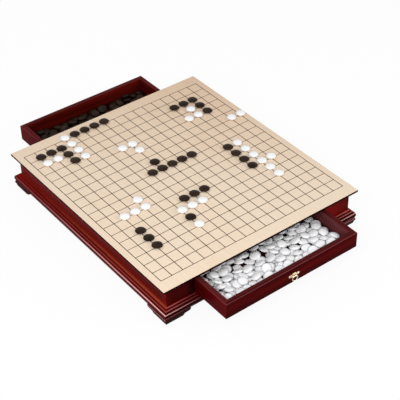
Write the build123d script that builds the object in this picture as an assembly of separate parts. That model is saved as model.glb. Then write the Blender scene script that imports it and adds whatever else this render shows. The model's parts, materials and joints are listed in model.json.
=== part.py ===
from build123d import *
import math
import os

import numpy as np

# A go board on a low cabinet with two stone drawers, one opening at the front (-Y) and one at the back (+Y).
# Millimetres, +Z up. The origin is on the floor, under the centre of the cabinet.
# The drawers are modelled as they stand open, so every slide is at zero there.

# ---------------------------------------------------------------- driving dimensions
TOTAL_HEIGHT = 74.0

# playing field: 19 lines each way, longer cells away from the player
LINE_COUNT = 19
CELL_X = 22.0
CELL_Y = 23.71
MARGIN_X = 13.2
MARGIN_Y = 25.6
VENEER_THICKNESS = 1.0

# top panel under the playing surface
EDGE_HEIGHT = 3.0
PANEL_THICKNESS = 8.0
UNDERCUT_REACH = 9.0

# cabinet
OVERHANG_X = 10.9
OVERHANG_Y = 9.9
SIDE_THICKNESS = 12.0
FRAME_THICKNESS = 14.0
DIVIDER_THICKNESS = 12.0
FLOOR_THICKNESS = 3.0
FLOOR_TOP = 24.4
BATTEN_WIDTH = 12.0
MOULDING_TOP = 29.0
FOOT_HEIGHT = 12.0

# feet
FOOT_THICKNESS = 12.0
FOOT_TOP_LENGTH = 52.4
FOOT_BOTTOM_LENGTH = 38.0
FOOT_REACH = 9.0
FOOT_CORNER_REACH = 10.3
FOOT_BLOCK_LEG = 26.0
FOOT_BLOCK_LIFT = 1.5

# drawers
DRAWER_WIDTH = 284.4
DRAWER_LENGTH = 222.5
DRAWER_HEIGHT = 31.1
DRAWER_WALL = 10.0
DRAWER_BASE = 29.4
DRAWER_FLOOR_THICKNESS = 2.6
GROOVE_LIFT = 2.0
GROOVE_DEPTH = 3.5
RIM_ROUND = 1.3
RIM_CHAMFER = 0.6
SIDE_GAP = 0.8
TOP_GAP = 0.6
FRONT_OPENING = 81.8
BACK_OPENING = 96.0

# drawer runners, guides and kickers
STRIP_WIDTH = 10.0
GUIDE_HEIGHT = 20.0
KICKER_GAP = 0.4

# pulls
PULL_LIFT = 15.6
PLATE_LENGTH = 23.6
PLATE_THICKNESS = 1.0
EYE_WIDTH = 2.4
EYE_RADIUS = 2.2
EYE_REACH = 3.4
EYE_BORE = 1.2
SHANK_RADIUS = 1.2
SHANK_LENGTH = 7.0
NAIL_RADIUS = 0.6
NAIL_HEAD_RADIUS = 1.5
NAIL_LENGTH = 6.0
NAIL_SPACING = 17.6
HOLE_CLEARANCE = 0.05
RING_WIDTH = 11.6
RING_DROP = 10.9
RING_BAR_RADIUS = 0.95
RING_SIDES = 12
RING_BAR_SIDES = 6
BORE_SIDES = 12

# stones
STONE_RADIUS = 9.75
STONE_THICKNESS = 5.8
POLE_RADIUS = 3.6
STONES_PER_DRAWER = 150
STONE_SHIFT = (1.5, 2.0)
SETTLE_SPACE = 0.35
SETTLE_GRID = 1.0
SETTLE_TRIALS = 110
TILT_SPREAD = 0.25
TILT_LIMIT = 0.55
TILT_FAVOUR = 3.5
FLOOR_SPACE = 0.05
RIM_CLEARANCE = 1.6

# a black stone is X and a white stone O, seen from above with the front drawer at the bottom
POSITION = (
    "....OXXXX..........",
    ".XXXO..............",
    ".OOXO.........XXX..",
    "...XO..........OX..",
    ".......OO.....OOX..",
    "........O..........",
    ".................OO",
    "........X..........",
    ".......XXXXX.......",
    "..............XO...",
    "....O.........XO...",
    "..OOO.........XO...",
    ".......XXX....XOO..",
    "..X...OOO......O...",
    "..X...X........O...",
    "..X...O............",
    "...................",
    "...................",
    "...................",
)

# ---------------------------------------------------------------- worked out from them
BOARD_HALF_X = (LINE_COUNT - 1) * CELL_X / 2 + MARGIN_X
BOARD_HALF_Y = (LINE_COUNT - 1) * CELL_Y / 2 + MARGIN_Y
CABINET_HALF_X = BOARD_HALF_X - OVERHANG_X
CABINET_HALF_Y = BOARD_HALF_Y - OVERHANG_Y
VENEER_BOTTOM = TOTAL_HEIGHT - VENEER_THICKNESS
PANEL_BOTTOM = VENEER_BOTTOM - PANEL_THICKNESS
BAY_HALF_Y = CABINET_HALF_Y - FRAME_THICKNESS
INNER_HALF_X = CABINET_HALF_X - SIDE_THICKNESS

DRAWER_HALF_X = DRAWER_WIDTH / 2
DRAWER_TOP = DRAWER_BASE + DRAWER_HEIGHT
DRAWER_FLOOR = DRAWER_BASE + GROOVE_LIFT + DRAWER_FLOOR_THICKNESS
OPENING_HALF_X = DRAWER_HALF_X + SIDE_GAP
OPENING_TOP = DRAWER_TOP + TOP_GAP
KICKER_BOTTOM = DRAWER_TOP + KICKER_GAP
PULL_HEIGHT = DRAWER_BASE + PULL_LIFT
STONE_CEILING = DRAWER_TOP - RIM_CLEARANCE

# the sagitta of a quarter round, as a share of its radius
ROUND_SAGITTA = 0.29

FRONT, RIGHT, BACK, LEFT = range(4)


# ---------------------------------------------------------------- helpers
def box(low, high):
    """A box between two opposite corners."""
    size = [b - a for a, b in zip(low, high)]
    return Pos(*low) * Box(*size, align=(Align.MIN, Align.MIN, Align.MIN))


def outline(*corners):
    """A closed face through corners (x, y). A third number bows the edge that ends there, by its sagitta."""
    edges = []
    for start, end in zip(corners[-1:] + corners[:-1], corners):
        if len(end) == 2:
            edges.append(Line(start[:2], end))
        else:
            edges.append(SagittaArc(start[:2], end[:2], end[2]))
    return make_face(edges)


def frame_side(profile, half_x, half_y, side):
    """One mitred side of a rectangular frame. The profile is drawn as (outward, up) from the frame's outer line."""
    half_run, half_depth = (half_x, half_y) if side in (FRONT, BACK) else (half_y, half_x)
    reach = 30.0
    end = half_run + reach
    start_plane = Plane(origin=(end, -half_depth, 0), x_dir=(0, -1, 0), z_dir=(-1, 0, 0))
    bar = extrude(start_plane * profile, amount=2 * end, dir=(-1, 0, 0))
    mitre = Polyline(
        (-end, -half_depth - reach),
        (end, -half_depth - reach),
        (half_run - reach, -half_depth + reach),
        (-half_run + reach, -half_depth + reach),
        close=True,
    )
    wedge = extrude(make_face(mitre), amount=TOTAL_HEIGHT)
    return Rot(0, 0, 90 * side) * (bar & wedge)


def faceted_solid(polygons):
    """A closed solid from flat polygons, each a list of points."""
    faces = [Face(Wire.make_polygon(polygon)) for polygon in polygons]
    return Solid(Shell(faces))


def ring_points(radius, height, count, turn=0.0):
    """Points evenly spaced on a level circle, the first one turned by a share of a step."""
    angles = [2 * math.pi * (step + turn) / count for step in range(count)]
    return [(radius * math.cos(a), radius * math.sin(a), height) for a in angles]


# ---------------------------------------------------------------- board
def playing_surface():
    """The pale sheet that carries the lines."""
    return box((-BOARD_HALF_X, -BOARD_HALF_Y, VENEER_BOTTOM), (BOARD_HALF_X, BOARD_HALF_Y, TOTAL_HEIGHT))


def top_panel():
    """The stained panel: a thin square edge, undercut all round to the cabinet."""
    edge_bottom = VENEER_BOTTOM - EDGE_HEIGHT
    slab = box((-BOARD_HALF_X, -BOARD_HALF_Y, PANEL_BOTTOM), (BOARD_HALF_X, BOARD_HALF_Y, VENEER_BOTTOM))
    undercut = outline(
        (1.0, edge_bottom),
        (0.0, edge_bottom),
        (-UNDERCUT_REACH, PANEL_BOTTOM, -1.2),
        (-UNDERCUT_REACH, PANEL_BOTTOM - 1.0),
        (1.0, PANEL_BOTTOM - 1.0),
    )
    for side in (FRONT, RIGHT, BACK, LEFT):
        slab -= frame_side(undercut, BOARD_HALF_X, BOARD_HALF_Y, side)
    return slab


# ---------------------------------------------------------------- cabinet
def side_panel(sign):
    """A side wall of the cabinet, between the front and back frames."""
    inner, outer = sorted((sign * INNER_HALF_X, sign * CABINET_HALF_X))
    return box((inner, -BAY_HALF_Y, FOOT_HEIGHT), (outer, BAY_HALF_Y, PANEL_BOTTOM))


def stile(end, sign):
    """The wide upright beside a drawer opening, at the front or back end."""
    near, far = sorted((sign * OPENING_HALF_X, sign * CABINET_HALF_X))
    inner, outer = sorted((end * BAY_HALF_Y, end * CABINET_HALF_Y))
    return box((near, inner, FOOT_HEIGHT), (far, outer, PANEL_BOTTOM))


def rail(end, bottom, top):
    """A rail across the drawer opening, between the stiles."""
    inner, outer = sorted((end * BAY_HALF_Y, end * CABINET_HALF_Y))
    return box((-OPENING_HALF_X, inner, bottom), (OPENING_HALF_X, outer, top))


def centre_divider():
    """The partition between the two drawer bays, which also stops both drawers."""
    half = DIVIDER_THICKNESS / 2
    return box((-OPENING_HALF_X, -half, FLOOR_TOP), (OPENING_HALF_X, half, PANEL_BOTTOM))


def cabinet_floor():
    """The thin board that closes the cabinet from below."""
    bottom = FLOOR_TOP - FLOOR_THICKNESS
    return box((-INNER_HALF_X, -BAY_HALF_Y, bottom), (INNER_HALF_X, BAY_HALF_Y, FLOOR_TOP))


def floor_battens():
    """Two battens on the side walls that carry the cabinet floor."""
    top = FLOOR_TOP - FLOOR_THICKNESS
    inner = INNER_HALF_X - BATTEN_WIDTH
    return [
        box((inner, -BAY_HALF_Y, FOOT_HEIGHT), (INNER_HALF_X, BAY_HALF_Y, top)),
        box((-INNER_HALF_X, -BAY_HALF_Y, FOOT_HEIGHT), (-inner, BAY_HALF_Y, top)),
    ]


def drawer_guide(sign):
    """The strip that keeps both drawers straight on one side."""
    near, far = sorted((sign * OPENING_HALF_X, sign * (OPENING_HALF_X + STRIP_WIDTH)))
    return box((near, -BAY_HALF_Y, FLOOR_TOP), (far, BAY_HALF_Y, FLOOR_TOP + GUIDE_HEIGHT))


def bay_strips(end, bottom, top):
    """The two strips under or over the side walls of one drawer."""
    near, far = sorted((end * DIVIDER_THICKNESS / 2, end * BAY_HALF_Y))
    inner = OPENING_HALF_X - STRIP_WIDTH
    return [
        box((inner, near, bottom), (OPENING_HALF_X, far, top)),
        box((-OPENING_HALF_X, near, bottom), (-inner, far, top)),
    ]


# ---------------------------------------------------------------- base moulding and feet
def base_moulding_profile():
    """Two small coves stepping out from the wall to a full bead, over a straight neck."""
    return outline(
        (0.0, FOOT_HEIGHT),
        (9.2, FOOT_HEIGHT),
        (9.2, 13.6),
        (9.0, 23.4, -1.45),
        (8.4, 23.4),
        (5.9, 25.9, 0.6),
        (5.2, 26.6),
        (4.5, 26.6),
        (1.8, 28.2, 0.5),
        (1.0, MOULDING_TOP),
        (0.0, MOULDING_TOP),
    )


def foot_profile():
    """A bead under the rail, a small step in and a face that tapers to the floor."""
    return outline(
        (FOOT_REACH - FOOT_THICKNESS, 0.0),
        (7.6, 0.0),
        (8.7, 5.2),
        (9.2, 5.6),
        (FOOT_REACH, FOOT_HEIGHT, -1.2),
        (FOOT_REACH - FOOT_THICKNESS, FOOT_HEIGHT),
    )


def foot_elevation():
    """The bracket's outline seen square on, from the outer corner to the scrolled end under the rail."""
    return outline(
        (0.0, 0.0),
        (FOOT_BOTTOM_LENGTH, 0.0),
        (43.4, 6.4, 0.9),
        (46.4, 7.2),
        (FOOT_TOP_LENGTH, FOOT_HEIGHT, -1.6),
        (0.0, FOOT_HEIGHT),
    )


def foot_bracket(side, sign):
    """One mitred half of a bracket foot, on the given side and at its left (-1) or right (+1) end."""
    half_run = CABINET_HALF_X if side in (FRONT, BACK) else CABINET_HALF_Y
    half_depth = CABINET_HALF_Y if side in (FRONT, BACK) else CABINET_HALF_X
    corner = sign * (half_run + FOOT_CORNER_REACH)
    plane = Plane(origin=(corner, -half_depth - 20.0, 0), x_dir=(-sign, 0, 0), z_dir=(0, sign, 0))
    cutter = extrude(plane * foot_elevation(), amount=60.0, dir=(0, 1, 0))
    run = frame_side(foot_profile(), CABINET_HALF_X, CABINET_HALF_Y, side)
    return run & (Rot(0, 0, 90 * side) * cutter)


def foot_block(x_sign, y_sign):
    """The three-cornered glue block behind a foot."""
    inset = FOOT_THICKNESS - FOOT_REACH
    x = x_sign * (CABINET_HALF_X - inset)
    y = y_sign * (CABINET_HALF_Y - inset)
    corner = Polyline((x, y), (x - x_sign * FOOT_BLOCK_LEG, y), (x, y - y_sign * FOOT_BLOCK_LEG), close=True)
    return Pos(0, 0, FOOT_BLOCK_LIFT) * extrude(make_face(corner), amount=FOOT_HEIGHT - FOOT_BLOCK_LIFT)


# ---------------------------------------------------------------- drawers
def drawer_wall_profile():
    """A drawer wall: rounded rim, and a groove inside for the bottom board."""
    groove = DRAWER_BASE + GROOVE_LIFT
    return outline(
        (0.0, DRAWER_BASE),
        (0.0, DRAWER_TOP - RIM_ROUND),
        (-RIM_ROUND, DRAWER_TOP, -ROUND_SAGITTA * RIM_ROUND),
        (RIM_CHAMFER - DRAWER_WALL, DRAWER_TOP),
        (-DRAWER_WALL, DRAWER_TOP - RIM_CHAMFER),
        (-DRAWER_WALL, DRAWER_FLOOR),
        (GROOVE_DEPTH - DRAWER_WALL, DRAWER_FLOOR),
        (GROOVE_DEPTH - DRAWER_WALL, groove),
        (-DRAWER_WALL, groove),
        (-DRAWER_WALL, DRAWER_BASE),
    )


def drawer_centre(end):
    """The middle of a drawer along Y, as it stands open."""
    opening = FRONT_OPENING if end < 0 else BACK_OPENING
    return end * (CABINET_HALF_Y + opening - DRAWER_LENGTH / 2)


def drawer_wall(end, side):
    """One mitred wall of a drawer. The wall with the pull is drilled for its shank and nails."""
    wall = frame_side(drawer_wall_profile(), DRAWER_HALF_X, DRAWER_LENGTH / 2, side)
    wall = Pos(0, drawer_centre(end), 0) * wall
    if side == (FRONT if end < 0 else BACK):
        face = end * (CABINET_HALF_Y + (FRONT_OPENING if end < 0 else BACK_OPENING))
        wall -= drilled(face, end, 0.0, SHANK_RADIUS, SHANK_LENGTH)
        for sign in (-1, 1):
            wall -= drilled(face, end, sign * NAIL_SPACING / 2, NAIL_RADIUS, NAIL_LENGTH)
    return wall


def drawer_bottom(end):
    """The bottom board, held in the grooves of the four walls."""
    inset = DRAWER_WALL - GROOVE_DEPTH
    half_x = DRAWER_HALF_X - inset
    half_y = DRAWER_LENGTH / 2 - inset
    centre = drawer_centre(end)
    bottom = DRAWER_BASE + GROOVE_LIFT
    return box((-half_x, centre - half_y, bottom), (half_x, centre + half_y, DRAWER_FLOOR))


# ---------------------------------------------------------------- pulls
def rod(face, end, x, radius, inward, outward=0.0):
    """An eight-sided rod square to a drawer's face, from inside the wall to outside it."""
    plane = Plane(origin=(x, face - end * inward, PULL_HEIGHT), x_dir=(1, 0, 0), z_dir=(0, end, 0))
    return extrude(plane * RegularPolygon(radius, 8), amount=inward + outward, dir=(0, end, 0))


def drilled(face, end, x, radius, depth):
    """The hole for a rod, a little wider than it."""
    return rod(face, end, x, radius + HOLE_CLEARANCE, depth + HOLE_CLEARANCE, PLATE_THICKNESS)


def pull_backplate(face, end):
    """A waisted plate with pointed ends and a swelling behind the eye."""
    half = PLATE_LENGTH / 2
    quarter = [(half, 0.0), (9.6, 2.8), (6.4, 1.9), (3.4, 4.1)]
    top_row = quarter + [(-x, z) for x, z in reversed(quarter)]
    points = top_row + [(-x, -z) for x, z in top_row[1:-1]]
    plane = Plane(origin=(0, face, PULL_HEIGHT), x_dir=(1, 0, 0), z_dir=(0, -1, 0))
    plate = extrude(plane * make_face(Polyline(*points, close=True)), amount=PLATE_THICKNESS, dir=(0, end, 0))
    plate -= rod(face, end, 0.0, SHANK_RADIUS + HOLE_CLEARANCE, 1.0, 2.0)
    for sign in (-1, 1):
        plate -= rod(face, end, sign * NAIL_SPACING / 2, NAIL_RADIUS + HOLE_CLEARANCE, 1.0, 2.0)
    return plate


def pull_eye(face, end):
    """The eye that holds the ring, on a shank driven into the drawer."""
    centre = PLATE_THICKNESS + EYE_REACH - 1.0
    lug = outline(
        (PLATE_THICKNESS, -EYE_RADIUS),
        (centre, -EYE_RADIUS),
        (centre, EYE_RADIUS, -EYE_RADIUS),
        (PLATE_THICKNESS, EYE_RADIUS),
    )
    plane = Plane(origin=(-EYE_WIDTH / 2, face, PULL_HEIGHT), x_dir=(0, end, 0), z_dir=(end, 0, 0))
    solid = extrude(plane * lug, amount=EYE_WIDTH, dir=(1, 0, 0))
    bore = extrude(plane * (Pos(centre, 0) * RegularPolygon(EYE_BORE, BORE_SIDES)), amount=EYE_WIDTH, dir=(1, 0, 0))
    return solid - bore + rod(face, end, 0.0, SHANK_RADIUS, SHANK_LENGTH, PLATE_THICKNESS)


def nail_head():
    """A low dome with eight sides."""
    rim = ring_points(NAIL_HEAD_RADIUS, 0.0, 8)
    crown = ring_points(NAIL_HEAD_RADIUS / 2, NAIL_HEAD_RADIUS / 2, 8)
    sides = [[rim[k - 1], rim[k], crown[k], crown[k - 1]] for k in range(8)]
    return faceted_solid([rim, crown] + sides)


def pull_nails(face, end):
    """Two nails with domed heads through the ends of the plate."""
    nails = []
    for sign in (-1, 1):
        x = sign * NAIL_SPACING / 2
        plane = Plane(origin=(x, face + end * PLATE_THICKNESS, PULL_HEIGHT), x_dir=(1, 0, 0), z_dir=(0, end, 0))
        nails.append(plane * nail_head() + rod(face, end, x, NAIL_RADIUS, NAIL_LENGTH, PLATE_THICKNESS))
    return nails


def pull_axis(face, end):
    """Where the ring turns: the middle of the eye's bore."""
    return Vector(0, face + end * (PLATE_THICKNESS + EYE_REACH - 1.0), PULL_HEIGHT)


def pull_ring(face, end):
    """The oval ring, whose short top side passes through the eye. It hangs straight down."""
    step = 2 * math.pi / RING_SIDES
    angles = [step * (k + 0.5) for k in range(RING_SIDES)]
    top_drop = RING_DROP / 2 * (1 - math.cos(step / 2))
    points = []
    for angle in angles:
        drop = RING_DROP / 2 * (1 - math.cos(angle)) - top_drop
        points.append(pull_axis(face, end) + Vector(RING_WIDTH / 2 * math.sin(angle), 0, -drop))
    path = Polyline(*points, close=True)
    start = (points[-1] + points[0]) * 0.5
    path = Polyline(start, *points, start)
    section = Plane(origin=start, x_dir=(0, 1, 0), z_dir=(1, 0, 0)) * RegularPolygon(RING_BAR_RADIUS, RING_BAR_SIDES)
    return sweep(section, path=path, transition=Transition.RIGHT)


# ---------------------------------------------------------------- stones
def stone():
    """A stone round the origin, with eight sides at its rim and a small square pole on each face."""
    rim = ring_points(STONE_RADIUS, 0.0, 8, 0.5)
    polygons = []
    for sign in (-1, 1):
        pole = ring_points(POLE_RADIUS, sign * STONE_THICKNESS / 2, 4)
        polygons.append(pole)
        for k in range(4):
            following = (k + 1) % 4
            before, after = rim[2 * k - 1], rim[2 * k]
            polygons.append([before, after, pole[k]])
            polygons.append([after, rim[2 * k + 1], pole[following], pole[k]])
    return faceted_solid(polygons)


def board_stones(mark):
    """All the stones of one colour on the board."""
    plain_stone = stone()
    half = (LINE_COUNT - 1) / 2
    stones = []
    for row, line in enumerate(POSITION):
        for column, letter in enumerate(line):
            if letter == mark:
                x = (column - half) * CELL_X + STONE_SHIFT[0]
                y = (half - row) * CELL_Y + STONE_SHIFT[1]
                stones.append(Pos(x, y, TOTAL_HEIGHT + STONE_THICKNESS / 2) * plain_stone)
    return stones


class StoneBed:
    """Stones dropped one by one into a tray, each where it can lie lowest."""

    def __init__(self, half_x, half_y, floor, ceiling, crowding, seed):
        self.half_x = half_x
        self.half_y = half_y
        self.ceiling = ceiling
        self.crowding = crowding
        self.random = np.random.default_rng(seed)
        self.xs = np.arange(-half_x, half_x + SETTLE_GRID, SETTLE_GRID)
        self.ys = np.arange(-half_y, half_y + SETTLE_GRID, SETTLE_GRID)
        self.heights = np.full((len(self.xs), len(self.ys)), floor + FLOOR_SPACE)
        self.placed = []

    def span(self, dx, dy, normal, grow):
        """The stone's underside and upper side over each (dx, dy), or NaN beside it."""
        radius = STONE_RADIUS + grow
        half = STONE_THICKNESS / 2 + grow
        crown = half + 0.4
        cap = (radius**2 + crown**2) / (2 * crown)
        lift = (cap - crown) * normal
        low = (-half - normal[0] * dx - normal[1] * dy) / normal[2]
        high = (half - normal[0] * dx - normal[1] * dy) / normal[2]
        for sign in (-1, 1):
            room = cap**2 - (dx - sign * lift[0])**2 - (dy - sign * lift[1])**2
            bulge = np.sqrt(np.where(room > 0, room, np.nan))
            low = np.maximum(low, sign * lift[2] - bulge)
            high = np.minimum(high, sign * lift[2] + bulge)
        outside = ~(low <= high)
        return np.where(outside, np.nan, low), np.where(outside, np.nan, high)

    def window(self, x, y):
        """The part of the grid round a stone."""
        reach = STONE_RADIUS + 1.0
        i = np.searchsorted(self.xs, (x - reach, x + reach))
        j = np.searchsorted(self.ys, (y - reach, y + reach))
        part = (slice(*i), slice(*j))
        dx, dy = np.meshgrid(self.xs[part[0]] - x, self.ys[part[1]] - y, indexing="ij")
        return part, dx, dy

    def rest(self, x, y, normal):
        """The height at which a stone comes to rest, or None where it doesn't fit in the tray."""
        reach_x = STONE_RADIUS * math.sqrt(1 - normal[0]**2) + STONE_THICKNESS / 2 * abs(normal[0]) + 0.3
        reach_y = STONE_RADIUS * math.sqrt(1 - normal[1]**2) + STONE_THICKNESS / 2 * abs(normal[1]) + 0.3
        if abs(x) > self.half_x - reach_x or abs(y) > self.half_y - reach_y:
            return None
        part, dx, dy = self.window(x, y)
        low, high = self.span(dx, dy, normal, 0.0)
        z = np.nanmax(self.heights[part] - low)
        return z if z + np.nanmax(high) < self.ceiling else None

    def drop(self):
        """Try many spots and tilts, keep the best, then shake the stone down from there."""
        best = None
        for trial in range(SETTLE_TRIALS):
            if trial < 60 or best is None:
                x = self.random.uniform(-self.half_x, self.half_x)
                y = self.random.uniform(-self.half_y, self.half_y)
                tilt = self.random.normal(0, TILT_SPREAD, 2) * (trial % 3 > 0)
            else:
                x = best[1] + self.random.normal(0, 1.5)
                y = best[2] + self.random.normal(0, 1.5)
                tilt = best[4][:2] + self.random.normal(0, 0.06, 2)
            tilt = np.clip(tilt, -TILT_LIMIT, TILT_LIMIT)
            normal = np.append(tilt, math.sqrt(1 - tilt @ tilt))
            z = self.rest(x, y, normal)
            if z is None:
                continue
            score = z + self.crowding * (y + self.half_y) - TILT_FAVOUR * math.sqrt(tilt @ tilt)
            if best is None or score < best[0]:
                best = (score, x, y, z, normal)
        if best is not None:
            self.settle(*best[1:])

    def settle(self, x, y, z, normal):
        """Leave the stone there and raise the bed over it."""
        part, dx, dy = self.window(x, y)
        high = self.span(dx, dy, normal, SETTLE_SPACE)[1]
        self.heights[part] = np.fmax(self.heights[part], z + high)
        self.placed.append((x, y, z, normal))


def drawer_stones(end, crowding, seed):
    """The stones lying in one drawer, heaped towards its pull."""
    half_x = DRAWER_HALF_X - DRAWER_WALL
    half_y = DRAWER_LENGTH / 2 - DRAWER_WALL
    bed = StoneBed(half_x, half_y, DRAWER_FLOOR, STONE_CEILING, crowding, seed)
    for _ in range(STONES_PER_DRAWER):
        bed.drop()
    plain_stone = stone()
    stones = []
    for x, y, z, normal in bed.placed:
        place = Plane(origin=(x, -end * y + drawer_centre(end), z), z_dir=(normal[0], -end * normal[1], normal[2]))
        stones.append(place * plain_stone)
    return stones


# ---------------------------------------------------------------- the assembly
def cabinet_parts():
    """Everything that stands still."""
    parts = {
        "playing_surface": playing_surface(),
        "top_panel": top_panel(),
        "centre_divider": centre_divider(),
        "cabinet_floor": cabinet_floor(),
        "floor_battens": floor_battens(),
        "board_black_stones": board_stones("X"),
        "board_white_stones": board_stones("O"),
    }
    for name, sign in (("left", -1), ("right", 1)):
        parts[f"{name}_side_panel"] = side_panel(sign)
        parts[f"{name}_drawer_guide"] = drawer_guide(sign)
    for name, end in (("front", -1), ("back", 1)):
        parts[f"{name}_left_stile"] = stile(end, -1)
        parts[f"{name}_right_stile"] = stile(end, 1)
        parts[f"{name}_top_rail"] = rail(end, OPENING_TOP, PANEL_BOTTOM)
        parts[f"{name}_bottom_rail"] = rail(end, FOOT_HEIGHT, MOULDING_TOP)
        parts[f"{name}_drawer_runners"] = bay_strips(end, FLOOR_TOP, DRAWER_BASE)
        parts[f"{name}_drawer_kickers"] = bay_strips(end, KICKER_BOTTOM, PANEL_BOTTOM)
    return parts


def base_parts():
    """The mitred base moulding and the four bracket feet."""
    parts = {}
    sides = {"front": FRONT, "right": RIGHT, "back": BACK, "left": LEFT}
    for name, side in sides.items():
        parts[f"{name}_base_moulding"] = frame_side(
            base_moulding_profile(), CABINET_HALF_X, CABINET_HALF_Y, side
        )
    # going round anticlockwise, each side's right end meets the next side's left end
    corners = (("front_right", FRONT), ("back_right", RIGHT), ("back_left", BACK), ("front_left", LEFT))
    facing = {FRONT: "end", BACK: "end", LEFT: "side", RIGHT: "side"}
    for corner, side in corners:
        following = (side + 1) % 4
        parts[f"{corner}_foot_{facing[side]}_bracket"] = foot_bracket(side, 1)
        parts[f"{corner}_foot_{facing[following]}_bracket"] = foot_bracket(following, -1)
    parts["foot_glue_blocks"] = [foot_block(x, y) for x in (-1, 1) for y in (-1, 1)]
    return parts


def drawer_parts(name, end, stones_name, crowding, seed):
    """One drawer with its pull and its stones."""
    face = end * (CABINET_HALF_Y + (FRONT_OPENING if end < 0 else BACK_OPENING))
    walls = {"face": FRONT, "back_wall": BACK} if end < 0 else {"face": BACK, "back_wall": FRONT}
    walls.update({"left_wall": LEFT, "right_wall": RIGHT})
    parts = {f"{name}_drawer_{wall}": drawer_wall(end, side) for wall, side in walls.items()}
    parts[f"{name}_drawer_bottom"] = drawer_bottom(end)
    parts[f"{name}_pull_backplate"] = pull_backplate(face, end)
    parts[f"{name}_pull_eye"] = pull_eye(face, end)
    parts[f"{name}_pull_nails"] = pull_nails(face, end)
    parts[f"{name}_pull_ring"] = pull_ring(face, end)
    parts[f"{name}_drawer_{stones_name}"] = drawer_stones(end, crowding, seed)
    return parts


def main():
    """Build every piece and write one file for each node."""
    os.makedirs("parts", exist_ok=True)
    parts = cabinet_parts()
    parts.update(base_parts())
    parts.update(drawer_parts("front", -1, "white_stones", 0.13, 19))
    parts.update(drawer_parts("back", 1, "black_stones", 0.03, 23))
    for name, part in parts.items():
        solids = part if isinstance(part, list) else part.solids()
        shape = Compound(solids) if len(solids) > 1 else solids[0]
        export_step(shape, f"parts/{name}.step")
        print(name, len(solids), "solids", round(sum(solid.volume for solid in solids)), "mm3")


main()
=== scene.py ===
"""Looks of a go board on a low cabinet with two stone drawers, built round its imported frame.

Every mesh is made in the frame's metres. The sizes in the classes are in millimetres, apart from
those of the lamps, the floor and the camera, which are in metres.
"""

import json
import logging
import math
from collections.abc import Callable, Iterator
from contextlib import contextmanager
from dataclasses import dataclass
from enum import Enum

import bmesh
import bpy
import numpy as np
from mathutils import Matrix, Quaternion, Vector

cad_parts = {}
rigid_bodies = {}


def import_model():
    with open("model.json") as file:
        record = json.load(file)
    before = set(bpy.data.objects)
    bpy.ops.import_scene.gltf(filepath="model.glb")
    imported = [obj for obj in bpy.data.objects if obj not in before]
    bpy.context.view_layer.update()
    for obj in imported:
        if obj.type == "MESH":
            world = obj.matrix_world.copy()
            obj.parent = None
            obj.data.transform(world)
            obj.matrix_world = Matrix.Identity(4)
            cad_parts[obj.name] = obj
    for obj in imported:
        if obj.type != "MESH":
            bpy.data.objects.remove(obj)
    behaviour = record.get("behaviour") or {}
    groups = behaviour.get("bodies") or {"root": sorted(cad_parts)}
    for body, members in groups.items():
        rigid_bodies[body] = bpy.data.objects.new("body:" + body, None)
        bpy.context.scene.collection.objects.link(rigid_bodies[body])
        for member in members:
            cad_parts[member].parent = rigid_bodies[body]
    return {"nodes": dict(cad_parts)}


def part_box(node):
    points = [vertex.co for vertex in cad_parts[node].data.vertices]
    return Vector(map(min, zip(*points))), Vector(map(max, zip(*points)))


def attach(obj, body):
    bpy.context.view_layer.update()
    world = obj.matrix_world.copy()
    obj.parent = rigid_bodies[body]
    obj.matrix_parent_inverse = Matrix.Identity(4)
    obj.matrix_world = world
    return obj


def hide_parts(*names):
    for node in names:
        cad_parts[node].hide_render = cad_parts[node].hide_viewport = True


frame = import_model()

log = logging.getLogger("go_board")
MM = 0.001
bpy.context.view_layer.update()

Point = tuple[float, float]
Spot = tuple[float, float, float]
Tone = tuple[float, float, float, float]
Socket = bpy.types.NodeSocket
Inputs = dict[str | int, object]

WALL_X = 200.3
WALL_Y = 229.09
QUARTER_BOW = 0.29
WHITE: Tone = (1.0, 1.0, 1.0, 1.0)


class Side(Enum):
    """The four sides of a rectangular frame, with the outward direction of each."""

    FRONT = (0, -1)
    RIGHT = (1, 0)
    BACK = (0, 1)
    LEFT = (-1, 0)

    @property
    def grain(self) -> "Grain":
        """The way the grain runs on a board along this side."""
        return Grain.ALONG_X if self.value[0] == 0 else Grain.ALONG_Y


class Grain(Enum):
    """The direction of the wood grain, with how much the pattern is squeezed on each axis."""

    ALONG_X = (0.05, 1.0, 1.0)
    ALONG_Y = (1.0, 0.05, 1.0)
    ALONG_Z = (1.0, 1.0, 0.05)


# -------- working by hand
def deselect() -> None:
    """Leave edit mode and deselect every object."""
    if bpy.context.object is not None and bpy.context.object.mode != "OBJECT":
        bpy.ops.object.mode_set(mode="OBJECT")
    bpy.ops.object.select_all(action="DESELECT")


def take(piece: bpy.types.Object) -> bpy.types.Object:
    """Make one object the only selected and active one.

    Args:
        piece: The object to work on.

    Returns:
        The same object.
    """
    deselect()
    piece.select_set(True)
    bpy.context.view_layer.objects.active = piece
    return piece


@contextmanager
def editing(piece: bpy.types.Object) -> Iterator[None]:
    """Edit mode on one object, left again at the end.

    Args:
        piece: The object whose mesh is edited.
    """
    take(piece)
    bpy.ops.object.mode_set(mode="EDIT")
    yield
    bpy.ops.object.mode_set(mode="OBJECT")


def settle(name: str) -> bpy.types.Object:
    """Name the active new primitive and put its place into its mesh.

    Args:
        name: The piece's name.

    Returns:
        The object, at the origin.
    """
    piece = bpy.context.object
    piece.name = name
    piece.data.name = name
    bpy.ops.object.transform_apply(location=True, rotation=True, scale=True)
    return piece


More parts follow.
